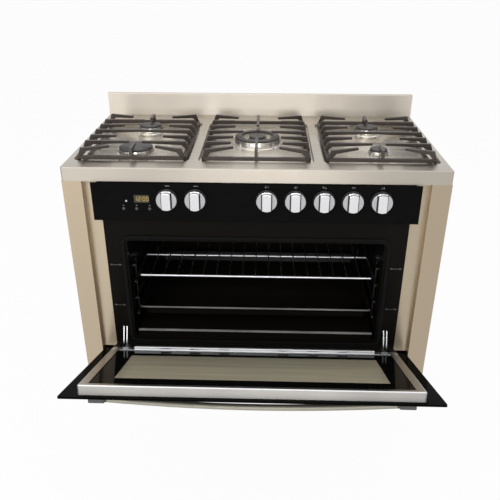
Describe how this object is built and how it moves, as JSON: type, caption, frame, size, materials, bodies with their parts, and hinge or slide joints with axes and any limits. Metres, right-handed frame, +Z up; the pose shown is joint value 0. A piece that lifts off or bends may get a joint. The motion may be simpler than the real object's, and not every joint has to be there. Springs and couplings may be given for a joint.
{
  "type": "gas cooker",
  "caption": "Free-standing stainless gas cooker with pan supports over burners, front knobs, a wide oven with a drop-down glass door and a drawer.",
  "frame": {"origin": "on the floor, below the middle of the box that the cooker fills with its door resting part open", "axes": "+X to the right of someone facing the cooker, +Y from its front to its back, +Z up"},
  "size_m": [1, 0.9858, 0.922],
  "materials": {
    "stainless": "brushed",
    "galvanised": "mill",
    "black_glass": "polished",
    "tinted_glass": "polished",
    "black_enamel": "gloss enamel",
    "grate_enamel": "satin enamel",
    "burner_alloy": "satin",
    "bright_wire": "polished",
    "knob_silver": "satin plated",
    "spindle_steel": "turned",
    "tap_brass": "turned",
    "ceramic": "glazed ceramic",
    "dark_plastic": "moulded",
    "seal_rubber": "matte",
    "glass_wool": "matted fibre"
  },
  "bodies": {
    "cabinet": {"backguard": "stainless", "base_pan": "galvanised", "burner_caps": "black_enamel", "burner_crowns": "burner_alloy", "burner_cups": "burner_alloy", "burner_pipes": "burner_alloy", "cable_gland": "dark_plastic", "clock_display": "dark_plastic", "control_bracket": "black_enamel", "control_panel": "black_glass", "door_seal": "seal_rubber", "drawer_runners": "galvanised", "front_columns": "stainless", "gas_manifold": "tap_brass", "gas_taps": "tap_brass", "grill_burner": "galvanised", "hinge_arms": "galvanised", "hob_top": "stainless", "levelling_feet": "dark_plastic", "oven_burner": "spindle_steel", "oven_cavity": "black_enamel", "oven_floor_plate": "black_enamel", "oven_front_frame": "black_enamel", "oven_insulation": "glass_wool", "pan_support_centre": "grate_enamel", "pan_support_left": "grate_enamel", "pan_support_right": "grate_enamel", "rear_panel": "galvanised", "side_panel_left": "stainless", "side_panel_right": "stainless", "side_racks": "bright_wire", "spark_electrodes": "ceramic", "thermocouples": "spindle_steel"},
    "oven_door": {"door_glass": "black_glass", "door_base_rail": "black_enamel", "door_frame": "stainless", "door_inner_glass": "tinted_glass", "door_handle": "stainless"},
    "drawer": {"drawer_front": "stainless", "drawer_box": "galvanised"},
    "shelf": {"wire_shelf": "bright_wire"},
    "tray": {"baking_tray": "black_enamel"},
    "spindle_1": {"tap_spindle_1": "spindle_steel"},
    "knob_1_body": {"knob_1": "knob_silver"},
    "spindle_2": {"tap_spindle_2": "spindle_steel"},
    "knob_2_body": {"knob_2": "knob_silver"},
    "spindle_3": {"tap_spindle_3": "spindle_steel"},
    "knob_3_body": {"knob_3": "knob_silver"},
    "spindle_4": {"tap_spindle_4": "spindle_steel"},
    "knob_4_body": {"knob_4": "knob_silver"},
    "spindle_5": {"tap_spindle_5": "spindle_steel"},
    "knob_5_body": {"knob_5": "knob_silver"},
    "spindle_6": {"tap_spindle_6": "spindle_steel"},
    "knob_6_body": {"knob_6": "knob_silver"},
    "spindle_7": {"tap_spindle_7": "spindle_steel"},
    "knob_7_body": {"knob_7": "knob_silver"},
    "button_1": {"clock_button_1": "dark_plastic"},
    "button_2": {"clock_button_2": "dark_plastic"},
    "button_3": {"clock_button_3": "dark_plastic"}
  },
  "joints": [
    {"name": "door_swing", "type": "hinge", "parent": "cabinet", "child": "oven_door", "pos_m": [0, -0.1091, 0.294], "axis": [-1, 0, 0], "range_deg": [-20.5, 69.5]},
    {"name": "drawer_slide", "type": "slide", "parent": "cabinet", "child": "drawer", "axis": [0, -1, 0], "range_m": [0, 0.3]},
    {"name": "shelf_slide", "type": "slide", "parent": "cabinet", "child": "shelf", "axis": [0, 1, 0], "range_m": [-0.3, 0]},
    {"name": "tray_slide", "type": "slide", "parent": "cabinet", "child": "tray", "axis": [0, 1, 0], "range_m": [-0.12, 0]},
    {"name": "knob_1_push", "type": "slide", "parent": "cabinet", "child": "spindle_1", "axis": [0, 1, 0], "range_m": [0, 0.003], "stiffness_N_per_m": 2000},
    {"name": "knob_1_turn", "type": "hinge", "parent": "spindle_1", "child": "knob_1_body", "pos_m": [-0.228, -0.11671, 0.769], "axis": [0, -1, 0], "range_deg": [0, 270]},
    {"name": "knob_2_push", "type": "slide", "parent": "cabinet", "child": "spindle_2", "axis": [0, 1, 0], "range_m": [0, 0.003], "stiffness_N_per_m": 2000},
    {"name": "knob_2_turn", "type": "hinge", "parent": "spindle_2", "child": "knob_2_body", "pos_m": [-0.1545, -0.11671, 0.769], "axis": [0, -1, 0], "range_deg": [0, 270]},
    {"name": "knob_3_push", "type": "slide", "parent": "cabinet", "child": "spindle_3", "axis": [0, 1, 0], "range_m": [0, 0.003], "stiffness_N_per_m": 2000},
    {"name": "knob_3_turn", "type": "hinge", "parent": "spindle_3", "child": "knob_3_body", "pos_m": [0.0295, -0.11671, 0.769], "axis": [0, -1, 0], "range_deg": [0, 210]},
    {"name": "knob_4_push", "type": "slide", "parent": "cabinet", "child": "spindle_4", "axis": [0, 1, 0], "range_m": [0, 0.003], "stiffness_N_per_m": 2000},
    {"name": "knob_4_turn", "type": "hinge", "parent": "spindle_4", "child": "knob_4_body", "pos_m": [0.103, -0.11671, 0.769], "axis": [0, -1, 0], "range_deg": [0, 210]},
    {"name": "knob_5_push", "type": "slide", "parent": "cabinet", "child": "spindle_5", "axis": [0, 1, 0], "range_m": [0, 0.003], "stiffness_N_per_m": 2000},
    {"name": "knob_5_turn", "type": "hinge", "parent": "spindle_5", "child": "knob_5_body", "pos_m": [0.1765, -0.11671, 0.769], "axis": [0, -1, 0], "range_deg": [0, 210]},
    {"name": "knob_6_push", "type": "slide", "parent": "cabinet", "child": "spindle_6", "axis": [0, 1, 0], "range_m": [0, 0.003], "stiffness_N_per_m": 2000},
    {"name": "knob_6_turn", "type": "hinge", "parent": "spindle_6", "child": "knob_6_body", "pos_m": [0.25, -0.11671, 0.769], "axis": [0, -1, 0], "range_deg": [0, 210]},
    {"name": "knob_7_push", "type": "slide", "parent": "cabinet", "child": "spindle_7", "axis": [0, 1, 0], "range_m": [0, 0.003], "stiffness_N_per_m": 2000},
    {"name": "knob_7_turn", "type": "hinge", "parent": "spindle_7", "child": "knob_7_body", "pos_m": [0.3235, -0.11671, 0.769], "axis": [0, -1, 0], "range_deg": [0, 210]},
    {"name": "button_1_press", "type": "slide", "parent": "cabinet", "child": "button_1", "axis": [0, 1, 0], "range_m": [0, 0.0015], "stiffness_N_per_m": 500},
    {"name": "button_2_press", "type": "slide", "parent": "cabinet", "child": "button_2", "axis": [0, 1, 0], "range_m": [0, 0.0015], "stiffness_N_per_m": 500},
    {"name": "button_3_press", "type": "slide", "parent": "cabinet", "child": "button_3", "axis": [0, 1, 0], "range_m": [0, 0.0015], "stiffness_N_per_m": 500}
  ]
}
